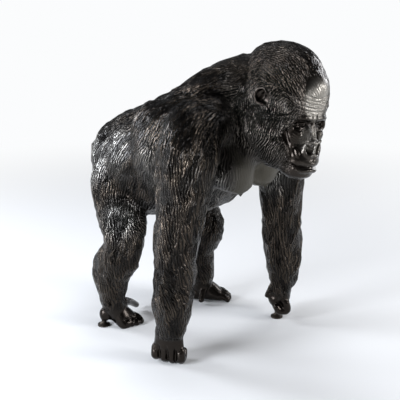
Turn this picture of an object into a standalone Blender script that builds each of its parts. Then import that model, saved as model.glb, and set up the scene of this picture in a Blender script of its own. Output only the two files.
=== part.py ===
"""A life-size bronze gorilla on all fours, standing on its knuckles and soles.

The real figure is one hollow lost-wax casting with two turned fixing pads screwed fast
into it, one behind the right heel and one under the left knuckles.

Units are metres. The gorilla faces -Y, its own left is +X and up is +Z. The figure is
modelled as a sculptor would: an armature of named joints, clay masses lofted over it,
all masses fused into one skin, then the features worked in with strokes of a tool.
"""

import math

import bmesh
import bpy
import numpy as np
from mathutils import Matrix, Vector

# Armature: heights and places of the joints. The right side comes first in each pair.
SHOULDER_HALF_SPAN = 0.205
SHOULDER_Y = -0.275
SHOULDER_HEIGHT = 0.850
ELBOW_HEIGHT = 0.470
WRIST_HEIGHT = 0.140
HIP_HALF_SPAN = 0.122
HIP_Y = 0.190
HIP_HEIGHT = 0.565
KNEE_HEIGHT = 0.345
ANKLE_HEIGHT = 0.105
ELBOWS = Vector((-0.265, -0.251, 0)), Vector((0.280, -0.282, 0))
HANDS = Vector((-0.263, -0.209, 0)), Vector((0.302, -0.275, 0))
KNUCKLE_ROWS = Vector((0.450, -0.893, 0)), Vector((-0.660, -0.751, 0))
KNEES = Vector((-0.198, 0.086, 0)), Vector((0.202, 0.032, 0))
ANKLES = Vector((-0.198, 0.156, 0)), Vector((0.215, 0.068, 0))
HEELS = Vector((-0.193, 0.178, 0)), Vector((0.205, 0.098, 0))
TOES = Vector((-0.148, 0.080, 0)), Vector((0.300, -0.022, 0))
TOE_ROWS = Vector((0.980, -0.200, 0)), Vector((-0.776, -0.631, 0))
GREAT_TOES = Vector((-0.044, 0.188, 0.028)), Vector((0.178, 0.034, 0.022))
HEAD_CENTRE = Vector((0.000, -0.492, 0.930))
HEAD_TURN = math.radians(-10.0)
HEAD_TILT = math.radians(8.0)

# Half girths of the trunk and limbs.
CHEST_HALF_WIDTH = 0.212
BELLY_HALF_WIDTH = 0.222
PELVIS_HALF_WIDTH = 0.160
UPPER_ARM = 0.094
ELBOW = 0.076
FOREARM = 0.073
WRIST = 0.051
THIGH = 0.098
KNEE = 0.073
CALF = 0.078
ANKLE = 0.045

# Hands and feet. The left hand and the right heel are cast a little high, on the pads.
FINGER = 0.0165
FINGER_PITCH = 0.031
TOE = 0.0120
TOE_PITCH = 0.0225
LEFT_HAND_LIFT = 0.028
RIGHT_HEEL_LIFT = 0.022

# Fixing pads.
PAD_DIAMETER = 0.048
PAD_RIM = 0.006
PAD_HEIGHT = 0.015
STEM_DIAMETER = 0.018
STEM_TOP = 0.056
SOCKET_CLEARANCE = 0.0003
HEEL_PAD = Vector((-0.224, 0.183, 0))
KNUCKLE_PAD = Vector((0.288, -0.271, 0))

# The clay is pressed this deep into the ground, so the weight-bearing spots come out flat.
GROUND = 0.003

# Skin: how finely the clay is fused and how many triangles the casting keeps.
VOXEL = 0.0042
CASTING_TRIANGLES = 11400

X_AXIS = Vector((1.0, 0.0, 0.0))
RIGHT, LEFT = -1.0, 1.0


def clear_scene():
    for obj in list(bpy.data.objects):
        bpy.data.objects.remove(obj)


def smooth_curve(rows, steps):
    """Catmull-Rom points through the rows of an array, `steps` to each span."""
    rows = np.asarray(rows, float)
    padded = np.vstack([2 * rows[0] - rows[1], rows, 2 * rows[-1] - rows[-2]])
    made = []
    for i in range(len(rows) - 1):
        a, b, c, d = padded[i : i + 4]
        for t in np.arange(steps) / steps:
            made.append(
                0.5 * (2 * b + (c - a) * t + (2 * a - 5 * b + 4 * c - d) * t**2
                       + (3 * b - a - 3 * c + d) * t**3)
            )
    made.append(rows[-1])
    return np.array(made)


def loft(clay, stations, across=X_AXIS, place=Matrix.Identity(4), sides=20, steps=4):
    """A closed round-ended tube. A station is (x, y, z, half width along `across`, half depth)."""
    rows = smooth_curve(stations, steps)
    points = [Vector(r[:3]) for r in rows]
    rings = []
    for i, row in enumerate(rows):
        ahead = points[min(i + 1, len(rows) - 1)] - points[max(i - 1, 0)]
        ahead.normalize()
        wide = (across - ahead * across.dot(ahead)).normalized()
        rings.append((points[i], wide, ahead.cross(wide), ahead, row[3], row[4]))
    domed = []
    for share in (80, 55, 28):
        lift, shrink = math.sin(math.radians(share)), math.cos(math.radians(share))
        p, wide, deep, ahead, w, d = rings[0]
        domed.append((p - ahead * lift * min(w, d), wide, deep, ahead, w * shrink, d * shrink))
    domed += rings
    for share in (28, 55, 80):
        lift, shrink = math.sin(math.radians(share)), math.cos(math.radians(share))
        p, wide, deep, ahead, w, d = rings[-1]
        domed.append((p + ahead * lift * min(w, d), wide, deep, ahead, w * shrink, d * shrink))
    before = None
    first = None
    for p, wide, deep, ahead, w, d in domed:
        ring = []
        for k in range(sides):
            turn = math.tau * k / sides
            spot = p + wide * (w * math.cos(turn)) + deep * (d * math.sin(turn))
            ring.append(clay.verts.new(place @ spot))
        if before:
            for k in range(sides):
                clay.faces.new((before[k - 1], before[k], ring[k], ring[k - 1]))
        else:
            first = ring
        before = ring
    clay.faces.new(first)
    clay.faces.new(list(reversed(before)))


def ball(clay, centre, radii, place=Matrix.Identity(4), turn=(0.0, 0.0, 0.0)):
    """An ellipsoid of clay."""
    spin = Matrix.Rotation(math.radians(turn[2]), 4, "Z")
    spin @= Matrix.Rotation(math.radians(turn[1]), 4, "Y")
    spin @= Matrix.Rotation(math.radians(turn[0]), 4, "X")
    shape = place @ Matrix.Translation(centre) @ spin @ Matrix.Diagonal((*radii, 1.0))
    bmesh.ops.create_icosphere(clay, subdivisions=3, radius=1.0, matrix=shape)


def trunk(clay):
    """Chest, belly and pelvis on one sloping spine, with the shoulder hump and the rump."""
    loft(
        clay,
        [
            (0, -0.350, 0.915, 0.120, 0.110),
            (0, -0.225, 0.812, CHEST_HALF_WIDTH, 0.197),
            (0, -0.075, 0.705, BELLY_HALF_WIDTH, 0.226),
            (0, 0.070, 0.652, BELLY_HALF_WIDTH, 0.214),
            (0, 0.165, 0.630, 0.200, 0.204),
            (0, 0.232, 0.622, PELVIS_HALF_WIDTH, 0.182),
        ],
        sides=32,
    )
    for side in (RIGHT, LEFT):
        ball(clay, (side * 0.090, 0.222, 0.640), (0.096, 0.112, 0.132))
        ball(clay, (side * 0.080, -0.315, 0.730), (0.110, 0.085, 0.110), turn=(-30, 0, side * 10))
        ball(clay, (side * 0.120, -0.210, 0.872), (0.125, 0.130, 0.085), turn=(26, side * 22, 0))
        ball(clay, (side * 0.165, -0.305, 0.868), (0.100, 0.090, 0.085), turn=(20, side * 25, 0))
        ball(clay, (side * 0.188, -0.140, 0.750), (0.082, 0.165, 0.185), turn=(-25, 0, 0))
        ball(clay, (side * 0.064, -0.345, 0.672), (0.078, 0.050, 0.062), turn=(-35, 0, 0))
    loft(
        clay,
        [
            (0, -0.345, 0.984, 0.110, 0.105),
            (0, -0.255, 0.956, 0.155, 0.099),
            (0, -0.130, 0.878, 0.180, 0.099),
            (0, 0.020, 0.800, 0.150, 0.085),
        ],
        sides=24,
    )


def neck(clay):
    """Thick neck from the chest into the back of the skull and the throat."""
    loft(
        clay,
        [
            (0, -0.270, 0.850, 0.125, 0.150),
            (0, -0.370, 0.905, 0.112, 0.135),
            (0, -0.450, 0.945, 0.098, 0.115),
        ],
        sides=24,
    )
    loft(
        clay,
        [
            (0, -0.330, 0.740, 0.085, 0.060),
            (0, -0.420, 0.800, 0.078, 0.060),
            (0, -0.500, 0.820, 0.062, 0.055),
        ],
    )


def arm(clay, side, elbow_at, hand, lift):
    """Deltoid to wrist in one column; the fur makes the forearm as broad as the upper arm."""
    shoulder = Vector((side * SHOULDER_HALF_SPAN, SHOULDER_Y, SHOULDER_HEIGHT))
    elbow = elbow_at + Vector((0, 0, ELBOW_HEIGHT))
    wrist = hand + Vector((side * 0.004, -0.012, WRIST_HEIGHT + lift))
    upper = shoulder.lerp(elbow, 0.45) + Vector((side * 0.014, -0.008, 0))
    fore = elbow.lerp(wrist, 0.35)
    low = elbow.lerp(wrist, 0.72)
    top = shoulder.lerp(elbow, 0.20) + Vector((side * 0.016, -0.006, 0))
    loft(
        clay,
        [
            (*(shoulder + Vector((0, 0, 0.005))), UPPER_ARM * 1.02, UPPER_ARM * 1.15),
            (*top, UPPER_ARM * 1.08, UPPER_ARM * 1.20),
            (*upper, UPPER_ARM * 0.97, UPPER_ARM * 1.07),
            (*elbow, ELBOW, ELBOW * 1.05),
            (*fore, FOREARM, FOREARM),
            (*low, FOREARM * 0.94, FOREARM * 0.92),
            (*wrist, WRIST, WRIST * 1.02),
        ],
    )


def hand_and_fingers(clay, side, hand, row, lift):
    """The palm stands upright and the fingers curl under it, knuckles down."""
    up = Vector((0, 0, 1))
    palm = row.cross(up) * side
    base = hand + up * lift
    wrist = base + Vector((side * 0.004, -0.012, WRIST_HEIGHT))
    loft(
        clay,
        [
            (*wrist, WRIST * 0.98, WRIST * 0.90),
            (*(base - palm * 0.002 + up * 0.100), 0.052, 0.038),
            (*(base - palm * 0.008 + up * 0.060), 0.056, 0.031),
            (*(base - palm * 0.011 + up * 0.046), 0.053, 0.024),
        ],
        across=row,
    )
    for i in range(4):
        reach = (-1.5 + i) * FINGER_PITCH
        droop = (0.008, 0.003, 0.000, 0.002)[i]
        spot = base + row * reach + up * droop
        loft(
            clay,
            [
                (*(spot - palm * 0.013 + up * 0.050), FINGER, FINGER),
                (*(spot - palm * 0.017 + up * 0.020), FINGER * 1.06, FINGER * 1.06),
                (*(spot - palm * 0.002 + up * 0.0155), FINGER * 0.95, FINGER * 0.95),
                (*(spot + palm * 0.014 + up * 0.0175), FINGER * 0.92, FINGER * 0.92),
                (*(spot + palm * 0.024 + up * 0.034), FINGER * 0.80, FINGER * 0.80),
            ],
            across=row,
            sides=14,
            steps=3,
        )
    loft(
        clay,
        [
            (*(base + palm * 0.014 + row * 0.010 + up * 0.125), 0.018, 0.018),
            (*(base + palm * 0.032 + row * 0.006 + up * 0.095), 0.016, 0.016),
            (*(base + palm * 0.052 + row * 0.000 + up * 0.068), 0.0120, 0.0120),
        ],
        across=row,
        sides=14,
        steps=3,
    )
    ball(clay, base + palm * 0.012 + up * 0.052, (0.036, 0.036, 0.034))


def leg(clay, side, knee_at, ankle, heel, toes):
    """Thigh, bent knee and calf."""
    up = Vector((0, 0, 1))
    hip = Vector((side * HIP_HALF_SPAN, HIP_Y, HIP_HEIGHT))
    knee = knee_at + up * KNEE_HEIGHT
    low = ankle + up * ANKLE_HEIGHT
    calf = knee.lerp(low, 0.48) + Vector((0, 0.040, 0))
    loft(
        clay,
        [
            (*hip, THIGH * 1.02, THIGH * 1.20),
            (*(hip.lerp(knee, 0.45) - Vector((0, 0.006, 0))), THIGH * 0.90, THIGH * 1.04),
            (*knee, KNEE, KNEE * 1.08),
            (*calf, CALF * 0.85, CALF),
            (*low, ANKLE, ANKLE * 1.1),
            (*(heel.lerp(toes, 0.20) + up * 0.060), ANKLE * 0.9, ANKLE),
        ],
    )


def foot(clay, side, heel, toes, row, great, lift):
    """A short flat foot, four toes ahead and the great toe standing off to the inside."""
    up = Vector((0, 0, 1))
    ahead = (toes - heel).normalized()
    length = (toes - heel).length
    squared = row.cross(up) * side
    point = (ahead + (squared if squared.dot(ahead) > 0 else -squared)).normalized()
    raised = [lift * max(0.0, 1 - t / 0.62) for t in (0.05, 0.30, 0.50)]
    loft(
        clay,
        [
            (*(heel + ahead * length * 0.05 + up * (0.030 + raised[0])), 0.033, 0.032),
            (*(heel + ahead * length * 0.30 + up * (0.042 + raised[1])), 0.037, 0.044),
            (*(heel + ahead * length * 0.50 + up * (0.034 + raised[2])), 0.043, 0.036),
            (*(heel + ahead * length * 0.68 + up * 0.022), 0.046, 0.024),
        ],
        across=row,
    )
    for i in range(4):
        reach = (-1.5 + i) * TOE_PITCH
        short = (0.012, 0.002, 0.0, 0.004)[i]
        tip = toes + row * reach - point * short
        loft(
            clay,
            [
                (*(tip - point * 0.058 - row * reach * 0.25 + up * 0.034), TOE * 1.25, TOE * 1.25),
                (*(tip - point * 0.026 + up * 0.027), TOE * 1.10, TOE * 1.10),
                (*(tip - point * 0.009 + up * 0.0135), TOE * 1.06, TOE * 1.04),
            ],
            across=row,
            sides=14,
            steps=3,
        )
    root = heel.lerp(toes, 0.30) + row * 0.022 + up * (0.070 + lift)
    bend = root.lerp(great, 0.55) + up * 0.007
    loft(
        clay,
        [(*root, 0.020, 0.020), (*bend, 0.0150, 0.0150), (*great, 0.0130, 0.0125)],
        across=point,
        sides=14,
        steps=4,
    )


def head(clay, place):
    """Skull, jaw muscles, brow, muzzle, nose rims and ears, in head space, face to -Y."""
    ball(clay, (0, 0.010, 0.054), (0.121, 0.160, 0.160), place)
    ball(clay, (0, 0.042, 0.104), (0.096, 0.134, 0.106), place)
    ball(clay, (0, -0.080, 0.060), (0.094, 0.074, 0.096), place)
    ball(clay, (0, -0.086, 0.026), (0.099, 0.064, 0.074), place)
    ball(clay, (0, -0.066, -0.072), (0.088, 0.072, 0.105), place)
    ball(clay, (0, -0.094, -0.140), (0.070, 0.064, 0.050), place)
    ball(clay, (0, -0.114, -0.155), (0.060, 0.050, 0.034), place)
    ball(clay, (0, -0.094, -0.188), (0.058, 0.062, 0.038), place)
    for side in (RIGHT, LEFT):
        ball(clay, (side * 0.076, 0.004, -0.062), (0.052, 0.088, 0.095), place, turn=(-18, 0, 0))
        ball(clay, (side * 0.058, -0.050, -0.130), (0.044, 0.075, 0.070), place, turn=(-30, 0, 0))
        ball(clay, (side * 0.042, -0.098, -0.078), (0.036, 0.038, 0.042), place)
        ball(clay, (side * 0.066, -0.088, -0.042), (0.032, 0.036, 0.032), place)
        ear(clay, side, place)
    brow = [(0.090, -0.090, -0.024, 0.010, 0.012), (0.060, -0.122, -0.018, 0.0105, 0.014)]
    brow += [(0.028, -0.135, -0.017, 0.0105, 0.014), (0, -0.133, -0.019, 0.0105, 0.014)]
    brow += [(-x, y, z, w, d) for x, y, z, w, d in reversed(brow[:-1])]
    loft(clay, brow, across=Vector((0, 0, 1)), place=place, sides=14)


def ear(clay, side, place):
    """A small round rim standing off the side of the head."""
    rim = [(0.118, -0.030, 0.008), (0.126, -0.008, 0.010), (0.131, 0.005, 0.032)]
    rim += [(0.129, -0.003, 0.054), (0.122, -0.024, 0.058), (0.117, -0.036, 0.042)]
    stations = [(side * x, y, z, 0.0080, 0.0052) for x, y, z in rim]
    loft(clay, stations, place=place, sides=10, steps=3)


def nose(clay, place):
    """Bridge, and the raised rims round two wide nostrils that meet in a V."""
    loft(
        clay,
        [
            (0, -0.126, -0.020, 0.014, 0.014),
            (0, -0.136, -0.056, 0.0110, 0.015),
            (0, -0.147, -0.086, 0.0130, 0.015),
        ],
        place=place,
        sides=14,
    )
    for side in (RIGHT, LEFT):
        rim = [(0.004, -0.163, -0.094), (0.017, -0.158, -0.090), (0.029, -0.148, -0.102)]
        rim += [(0.031, -0.145, -0.120), (0.024, -0.152, -0.135), (0.010, -0.159, -0.137)]
        stations = [(side * x, y, z, 0.0085, 0.0056) for x, y, z in rim]
        loft(clay, stations, across=Vector((0, 1, 0)), place=place, sides=10, steps=3)
    loft(
        clay,
        [
            (0, -0.164, -0.094, 0.0052, 0.0060),
            (0, -0.163, -0.116, 0.0044, 0.0060),
            (0, -0.158, -0.136, 0.0056, 0.0060),
        ],
        place=place,
        sides=10,
        steps=3,
    )


def fused(name, clay, voxel):
    """One skin over all the clay."""
    mesh = bpy.data.meshes.new(name)
    bmesh.ops.recalc_face_normals(clay, faces=clay.faces)
    clay.to_mesh(mesh)
    clay.free()
    obj = bpy.data.objects.new(name, mesh)
    bpy.context.scene.collection.objects.link(obj)
    remesh = obj.modifiers.new("fuse", "REMESH")
    remesh.mode = "VOXEL"
    remesh.voxel_size = voxel
    smooth = obj.modifiers.new("smooth", "SMOOTH")
    smooth.factor = 0.5
    smooth.iterations = 3
    bake(obj)
    keep_one_body(obj)
    return obj


def keep_one_body(obj):
    """Drops the small closed bubbles that can be left inside where masses meet."""
    shape = bmesh.new()
    shape.from_mesh(obj.data)
    left = set(shape.verts)
    bodies = []
    while left:
        edge = [left.pop()]
        body = set(edge)
        while edge:
            for link in edge.pop().link_edges:
                for vert in link.verts:
                    if vert in left:
                        left.discard(vert)
                        body.add(vert)
                        edge.append(vert)
        bodies.append(body)
    bodies.sort(key=len)
    for body in bodies[:-1]:
        bmesh.ops.delete(shape, geom=list(body), context="VERTS")
    shape.to_mesh(obj.data)
    shape.free()


def fineness(points, place):
    """1 over the lower face, hands and feet, falling to 0 on the furred body."""
    middle = np.array(place @ Vector((0, -0.130, -0.115)))
    muzzle = np.clip((0.115 - np.linalg.norm(points - middle, axis=1)) / 0.045, 0, 1)
    middle = np.array(place @ Vector((0, -0.030, 0.020)))
    skull = np.clip((0.190 - np.linalg.norm(points - middle, axis=1)) / 0.040, 0, 0.75)
    low = np.clip((0.130 - points[:, 2]) / 0.045, 0, 1)
    return np.maximum(np.maximum(muzzle, skull), low)


def smooth_body(obj, place, passes):
    """Runs the clay masses of the body into each other, and leaves the fine parts crisp."""
    points = np.empty((len(obj.data.vertices), 3), np.float32)
    obj.data.vertices.foreach_get("co", points.ravel())
    group = obj.vertex_groups.new(name="body")
    weights = np.round((1 - fineness(points, place)) * 10).astype(int)
    for step in range(1, 11):
        chosen = np.nonzero(weights == step)[0].tolist()
        group.add(chosen, step / 10, "REPLACE")
    smooth = obj.modifiers.new("smooth", "SMOOTH")
    smooth.factor = 0.5
    smooth.iterations = passes
    smooth.vertex_group = "body"
    bake(obj)


def bake(obj):
    """Turns the object's modifiers into its mesh."""
    bpy.context.view_layer.update()
    graph = bpy.context.evaluated_depsgraph_get()
    mesh = bpy.data.meshes.new_from_object(obj.evaluated_get(graph))
    obj.modifiers.clear()
    obj.data = mesh


class Skin:
    """The fused surface, open to strokes of the modelling tool."""

    def __init__(self, obj):
        self.mesh = obj.data
        self.points = np.empty((len(self.mesh.vertices), 3), np.float32)
        self.mesh.vertices.foreach_get("co", self.points.ravel())
        self.refresh()

    def refresh(self):
        self.mesh.vertices.foreach_set("co", self.points.ravel())
        self.mesh.update()
        self.normals = np.empty_like(self.points)
        self.mesh.vertex_normals.foreach_get("vector", self.normals.ravel())

    def stroke(self, path, radius, height, place=Matrix.Identity(4), taper=0.0):
        """Raises or, below zero, carves the skin along a path laid on it."""
        laid = []
        for p in path:
            spot = np.array(place @ Vector(p), np.float32)
            near = np.argmin(((self.points - spot) ** 2).sum(1))
            rise = float((self.points[near] - spot) @ self.normals[near])
            laid.append(spot + self.normals[near] * rise)
        low = np.min(laid, 0) - radius
        high = np.max(laid, 0) + radius
        some = np.nonzero(((self.points > low) & (self.points < high)).all(1))[0]
        if not len(some):
            return
        spots = self.points[some]
        best = np.full(len(some), 1e9, np.float32)
        along = np.zeros(len(some), np.float32)
        if len(laid) == 1:
            best = np.linalg.norm(spots - laid[0], axis=1)
            along[:] = 0.5
        for i in range(len(laid) - 1):
            a, b = laid[i], laid[i + 1]
            ab = b - a
            t = np.clip((spots - a) @ ab / max(float(ab @ ab), 1e-12), 0, 1)
            away = np.linalg.norm(spots - a - t[:, None] * ab, axis=1)
            nearer = away < best
            best = np.where(nearer, away, best)
            along = np.where(nearer, (i + t) / (len(laid) - 1), along)
        fall = np.clip(1 - best / radius, 0, 1)
        fall = fall * fall * (3 - 2 * fall)
        if taper:
            fall *= np.clip(np.minimum(along, 1 - along) / taper, 0, 1) ** 0.7
        self.points[some] += self.normals[some] * (fall * height)[:, None]


def both(path):
    """The path and its mirror across the middle of the body or head."""
    return [path, [(-p[0], *p[1:]) for p in path]]


def work_face(skin, place):
    """Eye sockets, eyeballs, lids, nostrils, mouth, cheek edges and frown."""
    for path in both([(0.026, -0.130, -0.040), (0.054, -0.118, -0.042)]):
        skin.stroke(path, 0.017, -0.0080, place)
    skin.refresh()
    for path in both([(0.033, -0.125, -0.041), (0.041, -0.122, -0.041)]):
        skin.stroke(path, 0.0125, 0.0080, place)
    skin.refresh()
    for path in both([(0.020, -0.125, -0.040), (0.037, -0.128, -0.032), (0.058, -0.115, -0.040)]):
        skin.stroke(path, 0.006, 0.0028, place)
    for path in both([(0.020, -0.125, -0.046), (0.038, -0.128, -0.051), (0.058, -0.115, -0.045)]):
        skin.stroke(path, 0.006, 0.0030, place)
    for path in both([(0.020, -0.13, -0.062), (0.038, -0.13, -0.070), (0.062, -0.12, -0.062)]):
        skin.stroke(path, 0.007, -0.0026, place, taper=0.3)
    for path in both([(0.010, -0.145, -0.028), (0.011, -0.145, -0.006)]):
        skin.stroke(path, 0.006, -0.0035, place)
    for path in both([(0.024, -0.130, -0.066), (0.042, -0.130, -0.098), (0.042, -0.130, -0.132)]):
        skin.stroke(path, 0.010, -0.0045, place, taper=0.3)
    skin.refresh()
    for path in both([(0.0165, -0.150, -0.104), (0.0150, -0.150, -0.124)]):
        skin.stroke(path, 0.0105, -0.0130, place)
    skin.refresh()
    lips = [(-0.068, -0.110, -0.165), (-0.034, -0.150, -0.175), (0, -0.160, -0.171)]
    lips += [(0.034, -0.150, -0.175), (0.068, -0.110, -0.165)]
    skin.stroke([(x, y, z + 0.012) for x, y, z in lips[1:-1]], 0.012, 0.0030, place, taper=0.4)
    skin.stroke([(x * 0.9, y, z - 0.013) for x, y, z in lips], 0.013, 0.0045, place, taper=0.3)
    skin.refresh()
    skin.stroke(lips, 0.0065, -0.0060, place, taper=0.15)
    edge = [(0.096, -0.080, -0.034), (0.092, -0.078, -0.080), (0.084, -0.085, -0.120)]
    for path in both(edge + [(0.072, -0.095, -0.158)]):
        skin.stroke(path, 0.022, 0.0060, place, taper=0.2)
    for path in both([(0.122, -0.020, 0.042), (0.122, -0.014, 0.024)]):
        skin.stroke(path, 0.013, -0.010, place)
    skin.refresh()


def work_body(skin):
    """Chest, belly and limb features."""
    skin.stroke([(0, -0.400, 0.760), (0, -0.385, 0.680), (0, -0.350, 0.600)], 0.030, -0.010, taper=0.3)
    for path in both([(0.068, -0.370, 0.600)]):
        skin.stroke(path, 0.013, 0.009)
    for path in both([(0.020, -0.350, 0.590), (0.090, -0.350, 0.585), (0.150, -0.300, 0.630)]):
        skin.stroke(path, 0.022, -0.007, taper=0.3)
    skin.stroke([(0, -0.20, 1.02), (0, 0.02, 0.92), (0, 0.25, 0.80)], 0.035, -0.007, taper=0.3)
    skin.refresh()


def thin_out(obj, place, triangles):
    """Fewer, larger triangles on the smooth body than on the face, hands and feet."""
    points = np.empty((len(obj.data.vertices), 3), np.float32)
    obj.data.vertices.foreach_get("co", points.ravel())
    group = obj.vertex_groups.new(name="plain")
    weights = np.round((1 - 0.85 * fineness(points, place)) * 10).astype(int)
    for step in range(1, 11):
        group.add(np.nonzero(weights == step)[0].tolist(), step / 10, "REPLACE")
    thin = obj.modifiers.new("thin out", "DECIMATE")
    thin.ratio = triangles / (2 * len(obj.data.polygons))
    thin.vertex_group = "plain"
    thin.vertex_group_factor = 1.0
    bake(obj)


def flatten_soles(obj, height):
    """Slices off what was pressed into the ground and closes the cuts flat."""
    shape = bmesh.new()
    shape.from_mesh(obj.data)
    everything = shape.verts[:] + shape.edges[:] + shape.faces[:]
    bmesh.ops.bisect_plane(
        shape, geom=everything, dist=1e-6, plane_co=(0, 0, height), plane_no=(0, 0, 1), clear_inner=True
    )
    bmesh.ops.holes_fill(shape, edges=[e for e in shape.edges if e.is_boundary])
    bmesh.ops.triangulate(shape, faces=shape.faces)
    bmesh.ops.recalc_face_normals(shape, faces=shape.faces)
    shape.to_mesh(obj.data)
    shape.free()


def turned(name, profile, centre, sides=32):
    """A solid of revolution about an upright axis, from (radius, height) pairs, bottom to top."""
    shape = bmesh.new()
    rings = []
    for radius, height in profile:
        ring = []
        for k in range(sides):
            turn = math.tau * k / sides
            across = Vector((radius * math.cos(turn), radius * math.sin(turn), height))
            ring.append(shape.verts.new(centre + across))
        rings.append(ring)
    for low, high in zip(rings, rings[1:]):
        for k in range(sides):
            shape.faces.new((low[k - 1], low[k], high[k], high[k - 1]))
    shape.faces.new(list(reversed(rings[0])))
    shape.faces.new(rings[-1])
    bmesh.ops.recalc_face_normals(shape, faces=shape.faces)
    mesh = bpy.data.meshes.new(name)
    shape.to_mesh(mesh)
    shape.free()
    obj = bpy.data.objects.new(name, mesh)
    bpy.context.scene.collection.objects.link(obj)
    return obj


def fixing_pad(name, spot):
    """A domed disc on a stem, standing on the ground."""
    rim, stem = PAD_DIAMETER / 2, STEM_DIAMETER / 2
    soft = PAD_RIM / 5
    profile = [(rim - soft, 0), (rim, soft), (rim, PAD_RIM - soft), (rim - soft, PAD_RIM)]
    profile += [(rim * 0.80, PAD_RIM * 1.25), (rim * 0.60, PAD_HEIGHT * 0.72), (stem * 1.15, PAD_HEIGHT)]
    profile += [(stem, PAD_HEIGHT * 1.15), (stem, STEM_TOP - soft), (stem - soft, STEM_TOP)]
    return turned(name, profile, spot + Vector((0, 0, GROUND)))


def bore_socket(obj, name, spot):
    """Bores the blind hole that the stem of a pad sits in."""
    radius = STEM_DIAMETER / 2 + SOCKET_CLEARANCE
    top = STEM_TOP + SOCKET_CLEARANCE
    cutter = turned(name, [(radius, -0.020), (radius, top)], spot + Vector((0, 0, GROUND)))
    cutter.hide_render = True
    cutter.display_type = "WIRE"
    bore = obj.modifiers.new("socket", "BOOLEAN")
    bore.operation = "DIFFERENCE"
    bore.solver = "EXACT"
    bore.object = cutter
    bake(obj)
    bpy.data.objects.remove(cutter)


def give_material(obj, name, colour, roughness):
    material = bpy.data.materials.new(name)
    material.use_nodes = True
    shader = material.node_tree.nodes["Principled BSDF"]
    shader.inputs["Base Color"].default_value = (*colour, 1)
    shader.inputs["Metallic"].default_value = 1.0
    shader.inputs["Roughness"].default_value = roughness
    obj.data.materials.clear()
    obj.data.materials.append(material)


def centre_on_origin(objects):
    """Puts the middle of the footprint over the origin, standing at height zero."""
    bpy.context.view_layer.update()
    corners = [Vector(c) for obj in objects for c in obj.bound_box]
    low = Vector([min(c[i] for c in corners) for i in range(3)])
    high = Vector([max(c[i] for c in corners) for i in range(3)])
    move = Matrix.Translation((-(low.x + high.x) / 2, -(low.y + high.y) / 2, -low.z))
    for obj in objects:
        obj.data.transform(move)


def main():
    clear_scene()
    clay = bmesh.new()
    trunk(clay)
    head_place = Matrix.Translation(HEAD_CENTRE)
    head_place @= Matrix.Rotation(HEAD_TURN, 4, "Z") @ Matrix.Rotation(HEAD_TILT, 4, "Y")
    neck(clay)
    head(clay, head_place)
    nose(clay, head_place)
    ball(clay, HEEL_PAD + Vector((0.005, -0.002, 0.049)), (0.022, 0.022, 0.030))
    for i, side in enumerate((RIGHT, LEFT)):
        hand_lift = LEFT_HAND_LIFT if side == LEFT else 0.0
        heel_lift = RIGHT_HEEL_LIFT if side == RIGHT else 0.0
        arm(clay, side, ELBOWS[i], HANDS[i], hand_lift)
        hand_and_fingers(clay, side, HANDS[i], KNUCKLE_ROWS[i], hand_lift)
        leg(clay, side, KNEES[i], ANKLES[i], HEELS[i], TOES[i])
        foot(clay, side, HEELS[i], TOES[i], TOE_ROWS[i], GREAT_TOES[i], heel_lift)
    casting = fused("gorilla_casting", clay, VOXEL)
    smooth_body(casting, head_place, 60)
    skin = Skin(casting)
    work_face(skin, head_place)
    work_body(skin)
    thin_out(casting, head_place, CASTING_TRIANGLES)
    flatten_soles(casting, GROUND)
    bore_socket(casting, "heel_socket", HEEL_PAD)
    bore_socket(casting, "knuckle_socket", KNUCKLE_PAD)
    casting.data.shade_smooth()
    heel_pad = fixing_pad("heel_fixing_pad", HEEL_PAD)
    knuckle_pad = fixing_pad("knuckle_fixing_pad", KNUCKLE_PAD)
    give_material(casting, "patinated_bronze", (0.070, 0.052, 0.040), 0.32)
    give_material(heel_pad, "heel_pad_bronze", (0.090, 0.072, 0.058), 0.45)
    give_material(knuckle_pad, "knuckle_pad_bronze", (0.090, 0.072, 0.058), 0.45)
    centre_on_origin([casting, heel_pad, knuckle_pad])


main()
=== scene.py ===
"""The look of a life-size bronze gorilla on all fours, on a pale studio floor.

The figure is modelled as it was in the sculptor's clay: an armature, masses laid over it and
run together, the face, hands and feet worked with a tool, and the coat combed in last.
Lengths are metres. The gorilla faces -Y, its own left is +X and up is +Z.
"""

import math

import bmesh
import bpy
import numpy as np
from mathutils import Matrix, Vector


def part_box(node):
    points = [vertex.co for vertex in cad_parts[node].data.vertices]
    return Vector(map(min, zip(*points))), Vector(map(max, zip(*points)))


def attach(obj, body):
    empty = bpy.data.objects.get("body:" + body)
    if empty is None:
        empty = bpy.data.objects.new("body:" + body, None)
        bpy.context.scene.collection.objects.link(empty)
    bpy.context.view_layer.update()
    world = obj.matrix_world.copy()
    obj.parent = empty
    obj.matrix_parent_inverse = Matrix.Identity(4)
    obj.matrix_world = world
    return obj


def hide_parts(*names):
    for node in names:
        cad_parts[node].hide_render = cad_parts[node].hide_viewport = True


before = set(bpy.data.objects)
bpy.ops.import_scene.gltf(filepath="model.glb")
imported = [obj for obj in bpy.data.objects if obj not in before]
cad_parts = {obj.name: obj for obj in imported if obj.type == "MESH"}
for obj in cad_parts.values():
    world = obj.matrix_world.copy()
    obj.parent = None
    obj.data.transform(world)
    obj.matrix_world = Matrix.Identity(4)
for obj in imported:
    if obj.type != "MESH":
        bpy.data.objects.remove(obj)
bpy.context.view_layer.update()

# The gorilla: one hollow casting in bronze, its wall about 5 mm thick, poured from a clay
# original. The clay is laid up here in rolls and eggs from joint to joint, run together and
# then worked with a tool. Where a value comes in a pair, the gorilla's right side is first.
SIDES = -1, 1
UP = Vector((0, 0, 1))
ACROSS = Vector((1, 0, 0))
BODY = Matrix.Identity(4)


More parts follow.
